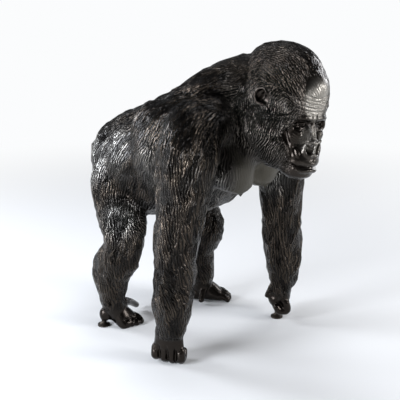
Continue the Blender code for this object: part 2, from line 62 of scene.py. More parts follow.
def smooth_curve(rows, steps):
    """Catmull-Rom points through the rows of an array, `steps` to each span."""
    rows = np.asarray(rows, float)
    padded = np.vstack([2 * rows[0] - rows[1], rows, 2 * rows[-1] - rows[-2]])
    made = []
    for a, b, c, d in zip(padded, padded[1:], padded[2:], padded[3:]):
        for t in np.arange(steps) / steps:
            bend = (2 * a - 5 * b + 4 * c - d) * t**2 + (3 * b - a - 3 * c + d) * t**3
            made.append(0.5 * (2 * b + (c - a) * t + bend))
    made.append(rows[-1])
    return np.array(made)


def roll(clay, stations, across=ACROSS, place=BODY, sides=20, steps=4):
    """A round-ended roll of clay. A station is (x, y, z, half width along `across`, half depth)."""
    rows = smooth_curve(stations, steps)
    points = [Vector(row[:3]) for row in rows]
    rings = []
    for i, row in enumerate(rows):
        ahead = (points[min(i + 1, len(rows) - 1)] - points[max(i - 1, 0)]).normalized()
        wide = (across - ahead * across.dot(ahead)).normalized()
        rings.append((points[i], wide, ahead.cross(wide), ahead, row[3], row[4]))
    domes = []
    for end, sign in (rings[0], -1), (rings[-1], 1):
        p, wide, deep, ahead, w, d = end
        for share in (28, 55, 80):
            lift, shrink = math.sin(math.radians(share)), math.cos(math.radians(share))
            middle = p + ahead * sign * lift * min(w, d)
            domes.append((middle, wide, deep, ahead, w * shrink, d * shrink))
    rings = domes[2::-1] + rings + domes[3:]
    before = None
    for i, (p, wide, deep, ahead, w, d) in enumerate(rings):
        turned = Matrix((wide * w, deep * d, ahead)).transposed().to_4x4()
        ring = bmesh.ops.create_circle(
            clay,
            cap_ends=i in (0, len(rings) - 1),
            segments=sides,
            radius=1,
            matrix=place @ Matrix.Translation(p) @ turned,
        )
        edges = list({edge for vert in ring["verts"] for edge in vert.link_edges})
        if before:
            bmesh.ops.bridge_loops(clay, edges=before + edges)
        before = edges


def lump(clay, centre, radii, place=BODY, turn=(0, 0, 0)):
    """An egg of clay."""
    spin = Matrix.Rotation(math.radians(turn[2]), 4, "Z")
    spin @= Matrix.Rotation(math.radians(turn[1]), 4, "Y")
    spin @= Matrix.Rotation(math.radians(turn[0]), 4, "X")
    shape = place @ Matrix.Translation(centre) @ spin @ Matrix.Diagonal((*radii, 1))
    bmesh.ops.create_icosphere(clay, subdivisions=3, radius=1, matrix=shape)


clay = bmesh.new()

# Trunk and neck. Chest, belly and pelvis hang on one sloping spine, with the high shoulder
# crest of a heavy ape behind the head and two rounded buttocks.
roll(
    clay,
    [
        (0, -0.350, 0.915, 0.120, 0.110),
        (0, -0.225, 0.812, 0.212, 0.197),
        (0, -0.075, 0.705, 0.222, 0.226),
        (0, 0.070, 0.652, 0.222, 0.214),
        (0, 0.165, 0.630, 0.200, 0.204),
        (0, 0.232, 0.622, 0.160, 0.182),
    ],
    sides=32,
)
roll(
    clay,
    [
        (0, -0.345, 0.984, 0.110, 0.105),
        (0, -0.255, 0.956, 0.155, 0.099),
        (0, -0.130, 0.878, 0.180, 0.099),
        (0, 0.020, 0.800, 0.150, 0.085),
    ],
    sides=24,
)
roll(
    clay,
    [
        (0, -0.270, 0.850, 0.125, 0.150),
        (0, -0.370, 0.905, 0.112, 0.135),
        (0, -0.450, 0.945, 0.098, 0.115),
    ],
    sides=24,
)
roll(
    clay,
    [
        (0, -0.330, 0.740, 0.085, 0.060),
        (0, -0.420, 0.800, 0.078, 0.060),
        (0, -0.500, 0.820, 0.062, 0.055),
    ],
)
for side in SIDES:
    lump(clay, (side * 0.090, 0.222, 0.640), (0.096, 0.112, 0.132))
    lump(clay, (side * 0.080, -0.315, 0.730), (0.110, 0.085, 0.110), turn=(-30, 0, side * 10))
    lump(clay, (side * 0.120, -0.210, 0.872), (0.125, 0.130, 0.085), turn=(26, side * 22, 0))
    lump(clay, (side * 0.165, -0.305, 0.868), (0.100, 0.090, 0.085), turn=(20, side * 25, 0))
    lump(clay, (side * 0.188, -0.140, 0.750), (0.082, 0.165, 0.185), turn=(-25, 0, 0))
    lump(clay, (side * 0.064, -0.345, 0.672), (0.078, 0.050, 0.062), turn=(-35, 0, 0))

# Head. Skull with its crest, jaw muscles, brow bar, muzzle, lips and chin, then the ears. It is
# laid up in a space of its own, face to -Y, which is then turned to the right and tilted.
HEAD_CENTRE = Vector((0.000, -0.492, 0.930))
HEAD_TURN = math.radians(-10)
HEAD_TILT = math.radians(8)
HEAD = Matrix.Translation(HEAD_CENTRE) @ Matrix.Rotation(HEAD_TURN, 4, "Z")
HEAD @= Matrix.Rotation(HEAD_TILT, 4, "Y")
for centre, radii in (
    ((0, 0.010, 0.054), (0.121, 0.160, 0.160)),
    ((0, 0.042, 0.104), (0.096, 0.134, 0.106)),
    ((0, -0.080, 0.060), (0.094, 0.074, 0.096)),
    ((0, -0.086, 0.026), (0.099, 0.064, 0.074)),
    ((0, -0.066, -0.072), (0.088, 0.072, 0.105)),
    ((0, -0.094, -0.140), (0.070, 0.064, 0.050)),
    ((0, -0.114, -0.155), (0.060, 0.050, 0.034)),
    ((0, -0.094, -0.188), (0.058, 0.062, 0.038)),
):
    lump(clay, centre, radii, HEAD)
for side in SIDES:
    lump(clay, (side * 0.076, 0.004, -0.062), (0.052, 0.088, 0.095), HEAD, turn=(-18, 0, 0))
    lump(clay, (side * 0.058, -0.050, -0.130), (0.044, 0.075, 0.070), HEAD, turn=(-30, 0, 0))
    lump(clay, (side * 0.042, -0.098, -0.078), (0.036, 0.038, 0.042), HEAD)
    lump(clay, (side * 0.066, -0.088, -0.042), (0.032, 0.036, 0.032), HEAD)
    rim = [(0.118, -0.030, 0.008), (0.126, -0.008, 0.010), (0.131, 0.005, 0.032)]
    rim += [(0.129, -0.003, 0.054), (0.122, -0.024, 0.058), (0.117, -0.036, 0.042)]
    roll(clay, [(side * x, y, z, 0.0080, 0.0052) for x, y, z in rim], place=HEAD, sides=10, steps=3)
brow = [(0.090, -0.090, -0.024, 0.0100, 0.012), (0.060, -0.122, -0.018, 0.0105, 0.014)]
brow += [(0.028, -0.135, -0.017, 0.0105, 0.014), (0, -0.133, -0.019, 0.0105, 0.014)]
brow += [(-x, *rest) for x, *rest in reversed(brow[:-1])]
roll(clay, brow, across=UP, place=HEAD, sides=14)

# Nose: a narrow bridge, and raised rims round two wide nostrils that meet in a V.
bridge = [(0, -0.126, -0.020, 0.014, 0.014), (0, -0.136, -0.056, 0.011, 0.015)]
roll(clay, bridge + [(0, -0.147, -0.086, 0.013, 0.015)], place=HEAD, sides=14)
for side in SIDES:
    rim = [(0.004, -0.163, -0.094), (0.017, -0.158, -0.090), (0.029, -0.148, -0.102)]
    rim += [(0.031, -0.145, -0.120), (0.024, -0.152, -0.135), (0.010, -0.159, -0.137)]
    stations = [(side * x, y, z, 0.0085, 0.0056) for x, y, z in rim]
    roll(clay, stations, across=Vector((0, 1, 0)), place=HEAD, sides=10, steps=3)
septum = [(0, -0.164, -0.094, 0.0052, 0.006), (0, -0.163, -0.116, 0.0044, 0.006)]
roll(clay, septum + [(0, -0.158, -0.136, 0.0056, 0.006)], place=HEAD, sides=10, steps=3)

# Arms. Deltoid to wrist is one column: the coat makes the forearm as broad as the upper arm.
# The palm stands upright and the fingers curl under it, knuckles down, the thumb beside them.
SHOULDER = Vector((0.205, -0.275, 0.850))
ELBOWS = Vector((-0.265, -0.251, 0.470)), Vector((0.280, -0.282, 0.470))
WRIST_HEIGHT = 0.140
HANDS = Vector((-0.263, -0.209, 0)), Vector((0.302, -0.275, 0.028))
KNUCKLE_ROWS = Vector((0.450, -0.893, 0)), Vector((-0.660, -0.751, 0))
UPPER_ARM, ELBOW, FOREARM, WRIST = 0.094, 0.076, 0.073, 0.051
FINGER, FINGER_PITCH = 0.0165, 0.031
FOUR_IN_ROW, GAPS_IN_ROW = (-1.5, -0.5, 0.5, 1.5), (-1, 0, 1)
for side, elbow, hand, row in zip(SIDES, ELBOWS, HANDS, KNUCKLE_ROWS):
    shoulder = Vector((side * SHOULDER.x, SHOULDER.y, SHOULDER.z))
    wrist = hand + Vector((side * 0.004, -0.012, WRIST_HEIGHT))
    top = shoulder.lerp(elbow, 0.20) + Vector((side * 0.016, -0.006, 0))
    upper = shoulder.lerp(elbow, 0.45) + Vector((side * 0.014, -0.008, 0))
    roll(
        clay,
        [
            (*(shoulder + UP * 0.005), UPPER_ARM * 1.02, UPPER_ARM * 1.15),
            (*top, UPPER_ARM * 1.08, UPPER_ARM * 1.20),
            (*upper, UPPER_ARM * 0.97, UPPER_ARM * 1.07),
            (*elbow, ELBOW, ELBOW * 1.05),
            (*elbow.lerp(wrist, 0.35), FOREARM, FOREARM),
            (*elbow.lerp(wrist, 0.72), FOREARM * 0.94, FOREARM * 0.92),
            (*wrist, WRIST, WRIST * 1.02),
        ],
    )
    palm = row.cross(UP) * side
    roll(
        clay,
        [
            (*wrist, WRIST * 0.98, WRIST * 0.90),
            (*(hand - palm * 0.002 + UP * 0.100), 0.052, 0.038),
            (*(hand - palm * 0.008 + UP * 0.060), 0.056, 0.031),
            (*(hand - palm * 0.011 + UP * 0.046), 0.053, 0.024),
        ],
        across=row,
    )
    for finger, droop in zip(FOUR_IN_ROW, (0.008, 0.003, 0.000, 0.002)):
        spot = hand + row * finger * FINGER_PITCH + UP * droop
        roll(
            clay,
            [
                (*(spot - palm * 0.013 + UP * 0.0500), FINGER, FINGER),
                (*(spot - palm * 0.017 + UP * 0.0200), FINGER * 1.06, FINGER * 1.06),
                (*(spot - palm * 0.002 + UP * 0.0155), FINGER * 0.95, FINGER * 0.95),
                (*(spot + palm * 0.014 + UP * 0.0175), FINGER * 0.92, FINGER * 0.92),
                (*(spot + palm * 0.024 + UP * 0.0340), FINGER * 0.80, FINGER * 0.80),
            ],
            across=row,
            sides=14,
            steps=3,
        )
    thumb = [(*(hand + palm * 0.014 + row * 0.010 + UP * 0.125), 0.018, 0.018)]
    thumb += [(*(hand + palm * 0.032 + row * 0.006 + UP * 0.095), 0.016, 0.016)]
    thumb += [(*(hand + palm * 0.052 + UP * 0.068), 0.0120, 0.0120)]
    roll(clay, thumb, across=row, sides=14, steps=3)
    lump(clay, hand + palm * 0.012 + UP * 0.052, (0.036, 0.036, 0.034))

# Legs. Short bent thighs, thick calves, and flat feet with the great toe standing off. The
# right heel is off the ground, with a small boss under it for its fixing pad.
HIP = Vector((0.122, 0.190, 0.565))
KNEES = Vector((-0.198, 0.086, 0.345)), Vector((0.202, 0.032, 0.345))
ANKLES = Vector((-0.198, 0.156, 0.105)), Vector((0.215, 0.068, 0.105))
HEELS = Vector((-0.193, 0.178, 0)), Vector((0.205, 0.098, 0))
HEEL_LIFTS = 0.022, 0.0
TOES = Vector((-0.148, 0.080, 0)), Vector((0.300, -0.022, 0))
TOE_ROWS = Vector((0.980, -0.200, 0)), Vector((-0.776, -0.631, 0))
TOE_SHORTS = 0.012, 0.002, 0.0, 0.004
GREAT_TOES = Vector((-0.044, 0.188, 0.028)), Vector((0.178, 0.034, 0.022))
THIGH, KNEE, CALF, ANKLE = 0.098, 0.073, 0.078, 0.045
TOE, TOE_PITCH = 0.0120, 0.0225
HEEL_PAD = Vector((-0.224, 0.183, 0))
for side, knee, ankle, heel, toes, row, great, lift in zip(
    SIDES, KNEES, ANKLES, HEELS, TOES, TOE_ROWS, GREAT_TOES, HEEL_LIFTS
):
    hip = Vector((side * HIP.x, HIP.y, HIP.z))
    roll(
        clay,
        [
            (*hip, THIGH * 1.02, THIGH * 1.20),
            (*(hip.lerp(knee, 0.45) - Vector((0, 0.006, 0))), THIGH * 0.90, THIGH * 1.04),
            (*knee, KNEE, KNEE * 1.08),
            (*(knee.lerp(ankle, 0.48) + Vector((0, 0.040, 0))), CALF * 0.85, CALF),
            (*ankle, ANKLE, ANKLE * 1.1),
            (*(heel.lerp(toes, 0.20) + UP * 0.060), ANKLE * 0.9, ANKLE),
        ],
    )
    ahead = (toes - heel).normalized()
    length = (toes - heel).length
    square = row.cross(UP) * side
    point = (ahead + (square if square.dot(ahead) > 0 else -square)).normalized()
    raised = [lift * max(0, 1 - share / 0.62) for share in (0.05, 0.30, 0.50)]
    roll(
        clay,
        [
            (*(heel + ahead * length * 0.05 + UP * (0.030 + raised[0])), 0.033, 0.032),
            (*(heel + ahead * length * 0.30 + UP * (0.042 + raised[1])), 0.037, 0.044),
            (*(heel + ahead * length * 0.50 + UP * (0.034 + raised[2])), 0.043, 0.036),
            (*(heel + ahead * length * 0.68 + UP * 0.022), 0.046, 0.024),
        ],
        across=row,
    )
    for toe, short in zip(FOUR_IN_ROW, TOE_SHORTS):
        reach = row * toe * TOE_PITCH
        tip = toes + reach - point * short
        roll(
            clay,
            [
                (*(tip - point * 0.058 - reach * 0.25 + UP * 0.034), TOE * 1.25, TOE * 1.25),
                (*(tip - point * 0.026 + UP * 0.027), TOE * 1.10, TOE * 1.10),
                (*(tip - point * 0.009 + UP * 0.0135), TOE * 1.06, TOE * 1.04),
            ],
            across=row,
            sides=14,
            steps=3,
        )
    root = heel.lerp(toes, 0.30) + row * 0.022 + UP * (0.070 + lift)
    bend = root.lerp(great, 0.55) + UP * 0.007
    roll(
        clay,
        [(*root, 0.0200, 0.0200), (*bend, 0.0150, 0.0150), (*great, 0.0130, 0.0125)],
        across=point,
        sides=14,
    )
lump(clay, HEEL_PAD + Vector((0.005, -0.002, 0.049)), (0.022, 0.022, 0.030))

# All the clay is run together into one skin. The body is then smoothed far more than the
# face, hands and feet, which keep their crisp forms and get smaller facets.
SKIN_GRAIN = 0.0040


def bake(piece):
    """Turns the piece's modifiers into its mesh."""
    bpy.context.view_layer.update()
    graph = bpy.context.evaluated_depsgraph_get()
    mesh = bpy.data.meshes.new_from_object(piece.evaluated_get(graph))
    piece.modifiers.clear()
    piece.data = mesh


def spots_of(piece):
    """The mesh's points as an array."""
    spots = np.empty((len(piece.data.vertices), 3), np.float32)
    piece.data.vertices.foreach_get("co", spots.ravel())
    return spots


def fade(distance, near, far):
    """1 up to `near`, falling smoothly to 0 at `far`."""
    share = np.clip((far - distance) / (far - near), 0, 1)
    return share * share * (3 - 2 * share)


def in_head(spots):
    """The same points in the head's own space, face to -Y."""
    turn = np.array(HEAD.to_3x3(), np.float32)
    return (spots - np.array(HEAD.translation, np.float32)) @ turn


def away_from(spots, middle):
    """Each point's distance from the middle."""
    return np.linalg.norm(spots - np.array(middle, np.float32), axis=1)


def crispness(spots):
    """1 over the face, hands and feet, falling to 0 on the coated body."""
    skull = in_head(spots)
    muzzle = fade(away_from(skull, (0, -0.130, -0.115)), 0.070, 0.115)
    crown = fade(away_from(skull, (0, -0.030, 0.020)), 0.150, 0.190) * 0.75
    low = fade(spots[:, 2], 0.085, 0.130)
    return np.maximum(np.maximum(muzzle, crown), low)


def weigh(piece, name, weights):
    """A vertex group with its weights in ten steps."""
    group = piece.vertex_groups.new(name=name)
    stepped = np.round(weights * 10).astype(int)
    for step in range(1, 11):
        group.add(np.nonzero(stepped == step)[0].tolist(), step / 10, "REPLACE")
    return group.name


bmesh.ops.recalc_face_normals(clay, faces=clay.faces)
mesh = bpy.data.meshes.new("gorilla_bronze")
clay.to_mesh(mesh)
clay.free()
gorilla = bpy.data.objects.new("gorilla_bronze", mesh)
bpy.context.scene.collection.objects.link(gorilla)
fuse = gorilla.modifiers.new("fuse", "REMESH")
fuse.mode = "VOXEL"
fuse.voxel_size = SKIN_GRAIN
soften = gorilla.modifiers.new("soften", "SMOOTH")
soften.factor = 0.5
soften.iterations = 3
bake(gorilla)

# Where masses meet, a small closed bubble can be left inside. Only the outer skin is kept.
skin = bmesh.new()
skin.from_mesh(gorilla.data)
left = set(skin.verts)
bodies = []
while left:
    edge = [left.pop()]
    body = set(edge)
    while edge:
        for link in edge.pop().link_edges:
            for vert in link.verts:
                if vert in left:
                    left.discard(vert)
                    body.add(vert)
                    edge.append(vert)
    bodies.append(body)
bodies.sort(key=len)
for body in bodies[:-1]:
    bmesh.ops.delete(skin, geom=list(body), context="VERTS")
skin.to_mesh(gorilla.data)
skin.free()

blend = gorilla.modifiers.new("run together", "SMOOTH")
blend.factor = 0.5
blend.iterations = 62
blend.vertex_group = weigh(gorilla, "coated", 1 - crispness(spots_of(gorilla)))
bake(gorilla)

# The face is worked at half the grain of the body, the eyes, nose and lips at a quarter.
skin = bmesh.new()
skin.from_mesh(gorilla.data)
for middle, reach in (((0, -0.110, -0.060), 0.150), ((0, -0.135, -0.085), 0.088)):
    skin.verts.ensure_lookup_table()
    spots = in_head(np.array([vert.co for vert in skin.verts], np.float32))
    chosen = away_from(spots, middle) < reach
    chosen &= spots[:, 1] < -0.055
    fine = {vert for vert, good in zip(skin.verts, chosen) if good}
    edges = [edge for edge in skin.edges if edge.verts[0] in fine and edge.verts[1] in fine]
    bmesh.ops.subdivide_edges(skin, edges=edges, cuts=1, use_grid_fill=True)
    bmesh.ops.smooth_vert(
        skin,
        verts=[vert for vert in skin.verts if vert in fine],
        factor=0.4,
        use_axis_x=True,
        use_axis_y=True,
        use_axis_z=True,
    )
skin.to_mesh(gorilla.data)
skin.free()


class Tool:
    """A modelling tool on the skin. Strokes are laid on the surface as it was when the tool was
    last picked up. Each is a path, how far the stroke reaches to its sides and how high it is."""

    def __init__(self, piece):
        self.mesh = piece.data
        self.spots = spots_of(piece)
        self.pick_up()

    def pick_up(self):
        self.mesh.vertices.foreach_set("co", self.spots.ravel())
        self.mesh.update()
        self.outward = np.empty_like(self.spots)
        self.mesh.vertex_normals.foreach_get("vector", self.outward.ravel())

    def stroke(self, path, radius, height, place=HEAD, taper=0.0):
        """Raises or, below zero, carves the skin along a path laid on it."""
        laid = []
        for p in path:
            spot = np.array(place @ Vector(p), np.float32)
            near = np.argmin(((self.spots - spot) ** 2).sum(1))
            rise = float((self.spots[near] - spot) @ self.outward[near])
            laid.append(spot + self.outward[near] * rise)
        low = np.min(laid, 0) - radius
        high = np.max(laid, 0) + radius
        some = np.nonzero(((self.spots > low) & (self.spots < high)).all(1))[0]
        if not len(some):
            return
        spots = self.spots[some]
        away = np.linalg.norm(spots - laid[0], axis=1)
        along = np.full(len(some), 0.5 if len(laid) == 1 else 0.0, np.float32)
        for i in range(len(laid) - 1):
            a, b = laid[i], laid[i + 1]
            t = np.clip((spots - a) @ (b - a) / max(float((b - a) @ (b - a)), 1e-12), 0, 1)
            here = np.linalg.norm(spots - a - t[:, None] * (b - a), axis=1)
            along = np.where(here < away, (i + t) / (len(laid) - 1), along)
            away = np.minimum(here, away)
        press = fade(away, 0, radius)
        if taper:
            press *= np.clip(np.minimum(along, 1 - along) / taper, 0, 1) ** 0.7
        self.spots[some] += self.outward[some] * (press * height)[:, None]

    def pair(self, path, *settings, **named):
        """The same stroke on both sides."""
        self.stroke(path, *settings, **named)
        self.stroke([(-x, y, z) for x, y, z in path], *settings, **named)


# Eyes: the sockets and the hollow under the brow, eyeballs and pouches, lids, the slit between
# them, the folds under them and the frown between the brows.
tool = Tool(gorilla)
tool.pair([(0.026, -0.130, -0.042), (0.056, -0.116, -0.044)], 0.018, -0.0085)
under_brow = [(0.018, -0.135, -0.031), (0.050, -0.125, -0.033), (0.086, -0.095, -0.040)]
tool.pair(under_brow, 0.009, -0.0045, taper=0.15)
tool.pick_up()
tool.pair([(0.032, -0.125, -0.043), (0.047, -0.120, -0.044)], 0.0115, 0.0080)
tool.pair([(0.045, -0.120, -0.070)], 0.028, 0.0065)
tool.pick_up()
inner_corner, outer_corner = (0.020, -0.125, -0.044), (0.060, -0.115, -0.043)
upper_lid = [inner_corner, (0.029, -0.128, -0.036), (0.047, -0.125, -0.034), outer_corner]
lower_lid = [inner_corner, (0.030, -0.128, -0.050), (0.046, -0.125, -0.051), outer_corner]
tool.pair(upper_lid, 0.0056, 0.0046)
tool.pair(lower_lid, 0.0052, 0.0040)
tool.pick_up()
tool.pair([(x, y, z + 0.0065) for x, y, z in upper_lid], 0.0042, -0.0030, taper=0.2)
tool.pair([(0.034, -0.13, -0.043), (0.045, -0.13, -0.043)], 0.0052, -0.0016)
for drop, depth in zip((0.000, 0.008, 0.016, 0.024, 0.032), (0.0032, 0.0024, 0.0020, 0.0018, 0.0014)):
    fold = [(0.016, -0.13, -0.052), (0.030, -0.13, -0.061)]
    fold += [(0.048, -0.13, -0.062), (0.066, -0.12, -0.054)]
    tool.pair([(x + drop * 0.12, y, z - drop) for x, y, z in fold], 0.0046, -depth, taper=0.3)
tool.pair([(0.012, -0.145, -0.036), (0.010, -0.145, -0.004)], 0.0055, -0.0050, taper=0.3)
tool.pick_up()

# Nose: the bridge with its middle furrow and two side ridges, deep nostrils, the wings round
# them and the groove down to the lip.
tool.stroke([(0, -0.15, -0.034), (0, -0.15, -0.086)], 0.0060, -0.0030, taper=0.2)
ridge = [(0.010, -0.14, -0.034), (0.010, -0.15, -0.062), (0.015, -0.15, -0.088)]
tool.pair(ridge, 0.0050, 0.0026, taper=0.2)
flank = [(0.022, -0.130, -0.060), (0.036, -0.130, -0.090), (0.040, -0.130, -0.108)]
tool.pair(flank, 0.009, -0.0060, taper=0.3)
tool.pick_up()
tool.pair([(0.0160, -0.150, -0.103), (0.0150, -0.150, -0.125)], 0.0112, -0.0190)
crease = [(0.036, -0.14, -0.096), (0.041, -0.14, -0.116), (0.036, -0.14, -0.140)]
tool.pair(crease, 0.0060, -0.0022, taper=0.3)
wing = [(0.046, -0.13, -0.096), (0.050, -0.13, -0.120), (0.042, -0.14, -0.148)]
tool.pair(wing, 0.0080, 0.0034, taper=0.3)
tool.stroke([(0, -0.16, -0.140), (0, -0.16, -0.158)], 0.0060, -0.0026, taper=0.3)
tool.pick_up()

# Mouth and cheeks: the swell of both lips and the hollow over the chin, the mouth's slit with
# its corners, then the cheeks and the folds beside the nose.
lips = [(-0.068, -0.110, -0.165), (-0.034, -0.150, -0.175), (0, -0.160, -0.171)]
lips += [(0.034, -0.150, -0.175), (0.068, -0.110, -0.165)]
tool.stroke([(x, y, z + 0.011) for x, y, z in lips[1:-1]], 0.012, 0.0040, taper=0.4)
tool.stroke([(x * 0.9, y, z - 0.012) for x, y, z in lips], 0.012, 0.0070, taper=0.3)
tool.stroke([(x * 0.8, y, z - 0.030) for x, y, z in lips], 0.012, -0.0035, taper=0.3)
tool.pick_up()
tool.stroke(lips, 0.0056, -0.0085, taper=0.12)
tool.pair([(0.064, -0.118, -0.158), (0.070, -0.110, -0.176)], 0.008, -0.0040)
cheek = [(0.094, -0.080, -0.034), (0.090, -0.078, -0.080)]
cheek += [(0.084, -0.085, -0.120), (0.076, -0.095, -0.158)]
tool.pair(cheek, 0.022, 0.0075, taper=0.2)
tool.pick_up()
groove = [(0.078, -0.10, -0.036), (0.073, -0.10, -0.076)]
groove += [(0.068, -0.11, -0.112), (0.060, -0.12, -0.146)]
tool.pair(groove, 0.012, -0.0070, taper=0.25)

# Ears and forehead: the ear's bowl with the fold in it and its rim, the bulge of the bare
# forehead, and five creases across it, the deepest at the top.
tool.pair([(0.122, -0.022, 0.046), (0.122, -0.012, 0.022)], 0.012, -0.013)
tool.stroke([(0, -0.15, 0.088)], 0.056, 0.0110)
tool.pick_up()
tool.pair([(0.118, -0.020, 0.046), (0.118, -0.012, 0.024)], 0.0050, 0.0060)
rim = [(0.118, -0.030, 0.008), (0.126, -0.008, 0.010), (0.131, 0.005, 0.032)]
rim += [(0.129, -0.003, 0.054), (0.122, -0.024, 0.060), (0.117, -0.036, 0.044)]
tool.pair(rim, 0.0060, 0.0032, taper=0.1)
for height, width, depth in (
    (0.050, 0.046, 0.0046),
    (0.039, 0.056, 0.0042),
    (0.028, 0.064, 0.0036),
    (0.016, 0.068, 0.0034),
    (0.005, 0.066, 0.0028),
):
    crease = [(-width, -0.11, height + 0.012), (-width * 0.45, -0.14, height)]
    crease += [(0, -0.15, height - 0.004)]
    crease += [(-x, y, z) for x, y, z in reversed(crease[:-1])]
    tool.stroke(crease, 0.0062, -depth, taper=0.25)
tool.pick_up()

# Body: the line down the breast, nipples, the edge of the breast over the belly and the
# hollow of the spine.
breastbone = [(0, -0.400, 0.760), (0, -0.385, 0.680), (0, -0.350, 0.600)]
tool.stroke(breastbone, 0.018, -0.0055, BODY, taper=0.3)
tool.pair([(0.068, -0.370, 0.600)], 0.013, 0.009, BODY)
under_breast = [(0.020, -0.350, 0.590), (0.090, -0.350, 0.585), (0.150, -0.300, 0.630)]
tool.pair(under_breast, 0.020, -0.005, BODY, taper=0.3)
tool.stroke([(0, -0.20, 1.02), (0, 0.02, 0.92), (0, 0.25, 0.80)], 0.035, -0.007, BODY, taper=0.3)
tool.pick_up()

# Hands and feet: deep lines between the fingers and toes, two creases over each knuckle, and
# a raised nail on each toe with a groove at its root.
for side, hand, row in zip(SIDES, HANDS, KNUCKLE_ROWS):
    palm = row.cross(UP) * side
    for gap in GAPS_IN_ROW:
        spot = hand + row * gap * FINGER_PITCH
        line = [spot - palm * 0.032 + UP * height for height in (0.082, 0.050, 0.015)]
        tool.stroke(line + [spot + palm * 0.010 + UP * 0.002], 0.0085, -0.0095, BODY, taper=0.3)
    for finger in FOUR_IN_ROW:
        spot = hand + row * finger * FINGER_PITCH
        for height, depth in (0.062, 0.0022), (0.055, 0.0022):
            across = [spot - palm * 0.036 + row * reach + UP * height for reach in (-0.010, 0, 0.010)]
            tool.stroke(across, 0.0042, -depth, BODY, taper=0.3)
for side, heel, toes, row in zip(SIDES, HEELS, TOES, TOE_ROWS):
    ahead = (toes - heel).normalized()
    for gap in GAPS_IN_ROW:
        spot = toes + row * gap * TOE_PITCH
        line = [spot - ahead * back + UP * 0.036 for back in (0.058, 0.030, 0.004)]
        tool.stroke(line, 0.0072, -0.0085, BODY, taper=0.3)
    for toe, short in zip(FOUR_IN_ROW, TOE_SHORTS):
        spot = toes + row * toe * TOE_PITCH - ahead * (short - 0.004)
        tool.stroke([spot + UP * 0.026], 0.0075, 0.0022, BODY)
        nail_root = [spot - ahead * 0.010 + row * reach + UP * 0.034 for reach in (-0.006, 0.006)]
        tool.stroke(nail_root, 0.0036, -0.0020, BODY)
tool.pick_up()

# Coat. Guide hairs say which way it is combed: where they stand, where they point and how
# far they are heard. Each is set on the right side and mirrored. The first list is the body's,
# the second the head's.
BODY_GUIDES = [
    ((0.06, -0.30, 1.03), (0, 1, -0.40), 0.07),
    ((0.08, -0.15, 0.97), (0.05, 1, -0.55), 0.08),
    ((0.10, 0.02, 0.89), (0.08, 1, -0.45), 0.08),
    ((0.10, 0.16, 0.82), (0.08, 1, -0.50), 0.08),
    ((0.09, 0.28, 0.75), (0.05, 0.6, -0.9), 0.07),
    ((0.09, 0.33, 0.62), (0.1, 0.05, -1), 0.08),
    ((0.18, 0.22, 0.68), (0, 0.35, -1), 0.08),
    ((0.20, 0.10, 0.76), (0.1, 0.85, -0.75), 0.08),
    ((0.22, -0.02, 0.70), (0, 0.75, -0.9), 0.08),
    ((0.20, 0.02, 0.52), (-0.1, 0.55, -1), 0.08),
    ((0.05, 0.02, 0.43), (-0.1, 0.9, -0.3), 0.09),
    ((0.21, -0.13, 0.74), (0, 0.6, -1), 0.07),
    ((0.20, -0.22, 0.97), (0.35, 0.8, -0.5), 0.06),
    ((0.30, -0.24, 0.87), (0.15, 0.50, -1), 0.06),
    ((0.28, -0.36, 0.84), (0.25, 0.15, -1), 0.05),
    ((0.13, -0.34, 0.95), (-0.1, 0.7, 0.5), 0.04),
    ((0.22, -0.38, 0.89), (0.9, 0.4, -0.3), 0.04),
    ((0.17, -0.41, 0.80), (0.1, -0.1, -1), 0.05),
    ((0.10, -0.40, 0.88), (-0.8, 0.2, -0.6), 0.04),
    ((0.30, -0.27, 0.68), (0.05, 0.12, -1), 0.08),
    ((0.28, -0.26, 0.52), (0, 0.1, -1), 0.07),
    ((0.30, -0.29, 0.36), (-0.25, -0.35, -1), 0.045),
    ((0.33, -0.20, 0.36), (0.30, 0.45, -1), 0.045),
    ((0.30, -0.28, 0.24), (-0.25, -0.35, -1), 0.045),
    ((0.32, -0.18, 0.24), (0.30, 0.45, -1), 0.045),
    ((0.22, -0.20, 0.30), (-0.15, 0.2, -1), 0.05),
    ((0.27, -0.22, 0.15), (0, 0, -1), 0.05),
    ((0.20, 0.18, 0.50), (0.05, -0.1, -1), 0.07),
    ((0.20, 0.05, 0.36), (0.05, 0.1, -1), 0.06),
    ((0.20, 0.16, 0.24), (0, 0.05, -1), 0.06),
    ((0.20, 0.12, 0.14), (0, 0, -1), 0.05),
    ((0.05, -0.40, 0.74), (0.1, 0.1, -1), 0.08),
]
HEAD_GUIDES = [
    ((0.05, -0.06, 0.17), (0.1, 0.9, 0.45), 0.045),
    ((0.09, -0.07, 0.10), (0.05, 0.8, 0.60), 0.045),
    ((0.04, 0.06, 0.20), (0.1, 1, 0.0), 0.05),
    ((0.11, 0.02, 0.12), (0.05, 0.95, 0.05), 0.04),
    ((0.10, 0.08, 0.10), (0, 0.8, -0.5), 0.04),
    ((0.04, 0.17, 0.12), (0, 0.6, -0.9), 0.06),
    ((0.12, 0.05, 0.02), (0, 0.35, -1), 0.035),
    ((0.11, 0.09, -0.03), (0, 0.2, -1), 0.045),
    ((0.12, -0.05, 0.03), (0, 0.25, -1), 0.030),
    ((0.10, -0.05, -0.04), (0.1, 0.45, -1), 0.040),
    ((0.11, 0.01, -0.09), (0.05, 0.65, -0.9), 0.045),
    ((0.08, -0.05, -0.15), (0.05, 0.9, -0.5), 0.045),
    ((0.04, 0.05, -0.19), (0, 1, -0.2), 0.060),
]
spines, ways, heard = [], [], []
for guides, place in (BODY_GUIDES, BODY), (HEAD_GUIDES, HEAD):
    for spot, way, reach in guides:
        for side in SIDES:
            spines.append(place @ Vector((side * spot[0], spot[1], spot[2])))
            ways.append((place.to_3x3() @ Vector((side * way[0], way[1], way[2]))).normalized())
            heard.append(reach)
spines, ways = np.array(spines, np.float32), np.array(ways, np.float32)
